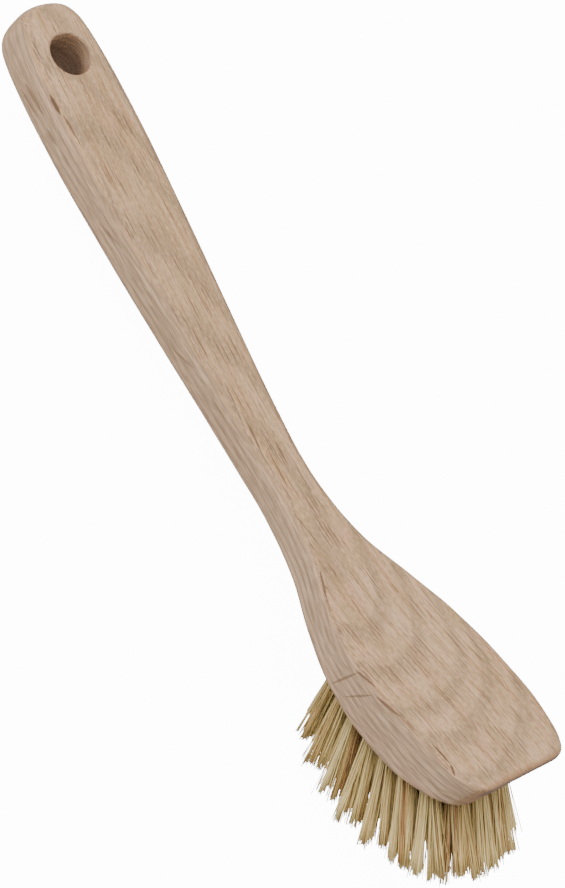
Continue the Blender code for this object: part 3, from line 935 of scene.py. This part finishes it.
print("hole at", round(1000 * (WOOD_LENGTH - HANGING_HOLE_FROM_END), 1), "mm along the wood")

# %% [markdown]
# ## The oak material
# The masks become colour, roughness and relief here. A Mapping node of the texture kind undoes the brush's
# lean and place, so that the grain runs along the board and not along the table.

# %% The oak material
OAK_ROUGHNESS = (0.0, 1.0, 0.62, 0.85)  # rougher in a pore
PORE_SHARE, FIBRE_RELIEF = 0.66, 0.4
RELIEF_DEPTH, RELIEF_STRENGTH = 0.00015, 0.35


def board_place(tree):
    """The point in the board's own frame: X along the grain, Z away from the bristles."""
    coordinates = add_node(tree, "TexCoord")
    return add_node(
        tree, "Mapping", {"vector_type": "TEXTURE"}, Vector=coordinates.outputs["Object"],
        Location=wood_rest.translation, Rotation=(0.0, wood_lean, 0.0),
    ).outputs[0]


def oak_material():
    material, tree, shader = new_material("oak")
    place = board_place(tree)
    ring = use_group(tree, oak_rings, Place=place)[0]
    followed = use_group(tree, below_top_face, Place=place)[0]
    sideways = add_node(tree, "Attribute", {"attribute_name": "sideways"}).outputs["Fac"]
    fine = use_group(tree, oak_fine_grain, Place=followed, Ring=ring, Sideways=sideways)
    x, y, z = split(tree, place)
    below_top = split(tree, followed)[2]
    leaned = times_plus(tree, z, FRONT_LEAN, -FRONT_LEAN * FRONT_RISE)
    behind_front = calculate(tree, "ADD", x, leaned)

    pores = times(tree, fine["Pores"], PORE_SHARE)
    dark = calculate(tree, "MAXIMUM", pores, all_marks(tree, place))
    face, front_shade = remap(tree, behind_front, *FRONT_FACE), remap(tree, below_top, *FRONT_GRAIN_AND_SHADE)
    tone = laid_over(
        tree, sanded_tone(tree, x, ring, sideways, fine),
        (remap(tree, behind_front, *FRONT_RIM), OAK_RIM),
        (dark, OAK_PORE),
        # end grain with painted shade on the front face, and painted shade in the hanging hole
        (times(tree, face, front_shade), OAK_END_GRAIN_AND_SHADE),
        (hanging_hole_shade(tree, x, y, z, below_top), OAK_END_GRAIN_AND_SHADE),
    )
    relief = times_plus(tree, pores, -1.0, times(tree, fine["Fibres"], FIBRE_RELIEF))
    bump = add_node(tree, "Bump", Strength=RELIEF_STRENGTH, Distance=RELIEF_DEPTH, Height=relief)
    rough = remap(tree, dark, *OAK_ROUGHNESS)
    feed(tree, shader, {"Base Color": tone, "Roughness": rough, "Specular IOR Level": 0.2})
    feed(tree, shader, {"Normal": bump.outputs[0]})
    return material


oak = oak_material()
wood.data.materials.clear()
wood.data.materials.append(oak)
print("oak on", wood.name, "with", len(oak.node_tree.nodes), "nodes")

# %% [markdown]
# ## Plant fibre
# The bristles are fibres of an agave leaf: stiff, straw-coloured, each a little different. Their points
# carry the fibre's tone and how far along it they lie, so the material can vary the fibres, paint shade
# near the roots and paint light on the cut tips.

# %% The fibre material
FIBRE_TONES = (
    (0.00, (0.230, 0.105, 0.038, 1.0)),
    (0.22, (0.430, 0.230, 0.088, 1.0)),
    (0.45, (0.510, 0.350, 0.120, 1.0)),
    (0.68, (0.580, 0.440, 0.170, 1.0)),
    (1.00, (0.730, 0.585, 0.275, 1.0)),
)
ROOT_SHADE = (0.05, 0.45, 0.75, 1.0)  # between two shares of the fibre's length
TIP_LIGHT = (0.60, 1.0, 0.0, 0.25)  # added towards the cut tip


def fibre_material():
    material, tree, shader = new_material("plant_fibre")
    tone = add_node(tree, "Attribute", {"attribute_name": "fibre_tone"}).outputs["Fac"]
    along = add_node(tree, "Attribute", {"attribute_name": "fibre_along"}).outputs["Fac"]
    # painted shade near the roots and painted light towards the cut tips
    shade = calculate(tree, "ADD", remap(tree, along, *ROOT_SHADE), remap(tree, along, *TIP_LIGHT))
    grey = add_node(tree, "CombineXYZ", X=shade, Y=shade, Z=shade).outputs[0]
    colour = mix_colours(tree, 1.0, colour_ramp(tree, tone, FIBRE_TONES), grey, blend="MULTIPLY")
    feed(tree, shader, {"Base Color": colour, "Roughness": 0.55, "Specular IOR Level": 0.4})
    return material


plant_fibre = fibre_material()
print("fibre tones:", len(FIBRE_TONES))

# %% [markdown]
# ## A tuft of fibres
# A fibre starts as a small circle, capped and extruded into a thin rod of a few rings, which is made
# once. Hair curves would be quicker, but a mesh is what the model needs when it leaves Blender.

# %% One straight fibre
FIBRE_SIDES = 4
FIBRE_RINGS = 5


def straight_fibre():
    """A rod along Z from 0 to 1, with unit radius, as a mesh to copy."""
    shape = bmesh.new()
    bmesh.ops.create_circle(shape, cap_ends=True, radius=1.0, segments=FIBRE_SIDES)
    cap = shape.faces[:]
    for _ in range(FIBRE_RINGS):
        grown = bmesh.ops.extrude_face_region(shape, geom=cap)["geom"]
        cap = [item for item in grown if isinstance(item, bmesh.types.BMFace)]
        points = [item for item in grown if isinstance(item, bmesh.types.BMVert)]
        bmesh.ops.translate(shape, verts=points, vec=(0, 0, 1 / FIBRE_RINGS))
    bmesh.ops.recalc_face_normals(shape, faces=shape.faces)
    mesh = bpy.data.meshes.new("straight_fibre")
    shape.to_mesh(mesh)
    shape.free()
    return mesh


rod = straight_fibre()
print("a rod has", len(rod.vertices), "points")

# %% [markdown]
# ## Locks and lines
# Fibres that have been wet cling together in a few locks. Each starts at its own spot in the hole, spread
# evenly by the golden angle, and bends towards the nearest lock's middle. Its length, wave and stray come
# from chance, with a fixed seed.

# %% The locks of a tuft and the line of a fibre
FIBRES_PER_TUFT = 280
GOLDEN_TURN = math.radians(137.508)
LOCKS = 9
LOCK_TURN_JITTER, TURN_JITTER = 0.4, 0.3  # radians, of a lock and of a fibre
LOCK_CLING = 0.45  # how much a lock draws together
LOCK_STRAY, LOCK_CUT, LOCK_TONE_SCATTER = 0.00080, 0.0025, 0.12
BRISTLE_LENGTH = 0.0294
ROOT_DEPTH = 0.0035  # of the modelled fibres in the hole
ROOT_RADIUS = 0.00225  # of the bundle where it leaves the hole
TIP_SPREAD = (0.0056, 0.0040)  # along the ring of tufts, and outwards
SPREAD_POWER = 1.1
SHORTEST_CUT, CUT_POWER = 0.0022, 1.6  # off the shortest tips, and how rare they are
WAVINESS, WAVE_HALF_TURNS = 0.00028, 1.5
TIP_STRAY = 0.00060
STRAY_SHARE, STRAY_REACH = 0.04, 2.0  # of the fibres, and how many times as far they go


def towards(turn):
    return Vector((math.cos(turn), math.sin(turn), 0.0))


def tuft_locks(chance):
    """Each lock's middle in the unit circle, its stray, its tone and what is cut off it."""
    locks = []
    for k in range(LOCKS):
        turn = k * GOLDEN_TURN + chance.uniform(-LOCK_TURN_JITTER, LOCK_TURN_JITTER)
        middle = towards(turn) * math.sqrt((k + 0.5) / LOCKS)
        stray = Vector((chance.gauss(0, LOCK_STRAY), chance.gauss(0, LOCK_STRAY), 0.0))
        locks.append((middle, stray, chance.gauss(0, LOCK_TONE_SCATTER), LOCK_CUT * chance.random()))
    return locks


def fibre_line(chance, number, locks):
    """A function from a fibre's share of length to a point in its tuft's frame, and its lock's tone."""
    turn = number * GOLDEN_TURN + chance.uniform(-TURN_JITTER, TURN_JITTER)
    spot = towards(turn) * math.sqrt((number + 0.5) / FIBRES_PER_TUFT)
    middle, lock_stray, lock_tone, lock_cut = min(locks, key=lambda lock: (lock[0] - spot).length)
    stray = Vector((chance.gauss(0, TIP_STRAY), chance.gauss(0, TIP_STRAY), 0.0))
    if chance.random() < STRAY_SHARE:
        stray *= STRAY_REACH
    share = spot.lerp(middle, LOCK_CLING)
    tip = Vector((share.x * TIP_SPREAD[0], share.y * TIP_SPREAD[1], 0.0)) + lock_stray + stray
    spread = tip - spot * ROOT_RADIUS
    wave = towards(chance.uniform(0, math.tau)) * chance.gauss(0, WAVINESS)
    length = ROOT_DEPTH + BRISTLE_LENGTH - lock_cut - SHORTEST_CUT * chance.random() ** CUT_POWER

    def at(share):
        free = max(0.0, share * length - ROOT_DEPTH) / BRISTLE_LENGTH
        side = spot * ROOT_RADIUS + spread * free**SPREAD_POWER
        side += wave * math.sin(free * math.pi * WAVE_HALF_TURNS)
        return Vector((side.x, side.y, share * length - ROOT_DEPTH))

    return at, lock_tone


print("fibres in a lock, about:", round(FIBRES_PER_TUFT / LOCKS))

# %% [markdown]
# ## The tufts
# For each fibre the rod is copied into the tuft's mesh and its points are moved onto the fibre's line. The
# real fibres bend where they rest on the table. Here their lowest points are lifted onto it.

# %% Grow the tufts
FIBRE_RADIUS, FIBRE_WIDTHS = 0.000165, (0.72, 1.25)
TIP_TAPER = 0.25
TONE_MEAN, TONE_SCATTER, TUFT_TONE_SPAN = 0.66, 0.24, 0.06
TABLE_CLEARANCE = 0.0001
TUFT_SEED = 11


def grow_tuft(name, rod, chance):
    mouth, outwards = tuft_axes[name]
    place = Matrix.Translation(mouth) @ outwards.to_track_quat("Z", "Y").to_matrix().to_4x4()
    shape = bmesh.new()
    tone_layer = shape.verts.layers.float.new("fibre_tone")
    along_layer = shape.verts.layers.float.new("fibre_along")
    tuft_tone = chance.uniform(-TUFT_TONE_SPAN, TUFT_TONE_SPAN)
    locks = tuft_locks(chance)
    for number in range(FIBRES_PER_TUFT):
        line, lock_tone = fibre_line(chance, number, locks)
        tone = min(max(chance.gauss(TONE_MEAN + tuft_tone + lock_tone, TONE_SCATTER), 0.0), 1.0)
        width = FIBRE_RADIUS * chance.uniform(*FIBRE_WIDTHS)
        spin = Matrix.Rotation(chance.uniform(0, math.tau), 3, "Z")
        before = len(shape.verts)
        shape.from_mesh(rod)
        shape.verts.ensure_lookup_table()
        for point in shape.verts[before:]:
            share = point.co.z
            flat = spin @ Vector((point.co.x, point.co.y, 0.0)) * width * (1 - TIP_TAPER * share)
            point.co = place @ (line(share) + flat)
            point.co.z = max(point.co.z, TABLE_CLEARANCE)
            point[tone_layer] = tone
            point[along_layer] = share
    return new_piece(f"tuft_{name}_fibres", shape)


chance = random.Random(TUFT_SEED)
for name in tuft_names:
    tuft = grow_tuft(name, rod, chance)
    tuft.data.shade_smooth()
    tuft.data.materials.append(plant_fibre)
    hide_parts("tuft_" + name)
    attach(tuft, "root")
print("fibres:", FIBRES_PER_TUFT * len(tuft_names), "triangles a tuft:", 2 * len(tuft.data.polygons))

# %% [markdown]
# ## The anchors
# The anchors sit deep in the wood, where nobody sees them until the brush is taken apart. They keep their
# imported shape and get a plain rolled-steel finish, with faint scratches along the strip.

# %% The anchor steel
STEEL_COLOUR = (0.55, 0.54, 0.52, 1.0)
STEEL_SCRATCHES = (0.0020, 0.00012)  # length and width
STEEL_ROUGHNESS = (0.3, 0.7, 0.28, 0.48)
STEEL_RELIEF = 0.00002


def steel_material():
    material, tree, shader = new_material("anchor_steel")
    coordinates = add_node(tree, "TexCoord")
    place = stretched(tree, coordinates.outputs["Object"], *STEEL_SCRATCHES)
    scratches = soft_noise(tree, place, detail=3.0)
    rough = remap(tree, scratches, *STEEL_ROUGHNESS)
    bump = add_node(tree, "Bump", Strength=0.2, Distance=STEEL_RELIEF, Height=scratches).outputs[0]
    feed(tree, shader, {"Base Color": STEEL_COLOUR, "Metallic": 1.0, "Roughness": rough, "Normal": bump})
    return material


anchor_steel = steel_material()
anchors = [node for name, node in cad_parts.items() if name.startswith("anchor_")]
for anchor in anchors:
    anchor.data.materials.clear()
    anchor.data.materials.append(anchor_steel)
print("anchors:", len(anchors))

# %% [markdown]
# ## Floor and light
# A product on white stands on a lit sweep, which would throw light up at the wood. A pale floor that
# glows for the camera alone looks the same and doesn't.

# %% Floor
FLOOR_HALF_SIZE = 4.0
FLOOR_COLOUR, WHITE = (0.60, 0.60, 0.60, 1.0), (1.0, 1.0, 1.0, 1.0)
CAMERA_GLOW = 13.0  # of the floor and the room, for the camera alone


def make_floor():
    shape = bmesh.new()
    bmesh.ops.create_grid(shape, x_segments=1, y_segments=1, size=FLOOR_HALF_SIZE)
    floor = new_piece("studio_floor", shape)
    material, tree, shader = new_material("studio_floor")
    seen = add_node(tree, "LightPath").outputs["Is Camera Ray"]
    feed(tree, shader, {"Base Color": FLOOR_COLOUR, "Roughness": 0.9, "Specular IOR Level": 0.1})
    feed(tree, shader, {"Emission Color": WHITE, "Emission Strength": times(tree, seen, CAMERA_GLOW)})
    floor.data.materials.append(material)
    return floor


floor = make_floor()
print("floor:", floor.name)

# %% [markdown]
# ## Light
# A large warm panel hangs overhead, as a softbox does. A low one beyond the hanging end, on the camera's
# side, brightens the flank, a weak one lights the far side, and the rest comes from a bright, cool room,
# which the camera sees as white. Small lamps would draw hard shadows.

# %% Lights
ROOM_LIGHT = 0.42
ROOM_COLOUR = (0.93, 0.98, 1.06, 1.0)
PANEL_TARGET = (0, 0, 0.02)
# place, size, power and colour
PANELS = {
    "key_panel": ((0.15, 0.30, 1.20), 0.9, 18.0, (1.0, 0.97, 0.93)),
    "low_panel": ((0.85, 0.80, 0.30), 0.6, 11.0, (1.0, 1.0, 1.0)),
    "far_panel": ((-0.80, -0.60, 0.50), 0.6, 4.0, (1.0, 1.0, 1.0)),
}


def soft_panel(name, place, size, power, colour):
    light = bpy.data.lights.new(name, "AREA")
    light.color = colour
    light.shape = "SQUARE"
    light.size = size
    light.energy = power
    panel = bpy.data.objects.new(name, light)
    panel.location = place
    panel.rotation_euler = (Vector(PANEL_TARGET) - Vector(place)).to_track_quat("-Z", "Y").to_euler()
    bpy.context.scene.collection.objects.link(panel)
    return panel


def bright_room():
    world = bpy.data.worlds.new("bright_room")
    world.use_nodes = True
    tree, background = world.node_tree, world.node_tree.nodes["Background"]
    seen = add_node(tree, "LightPath").outputs["Is Camera Ray"]
    strength = remap(tree, seen, 0.0, 1.0, ROOM_LIGHT, CAMERA_GLOW, smooth=False)
    feed(tree, background, {"Color": mix_colours(tree, seen, ROOM_COLOUR, WHITE), "Strength": strength})
    return world


for name, settings in PANELS.items():
    soft_panel(name, *settings)
bpy.context.scene.world = bright_room()
print("lights:", len(bpy.data.lights))
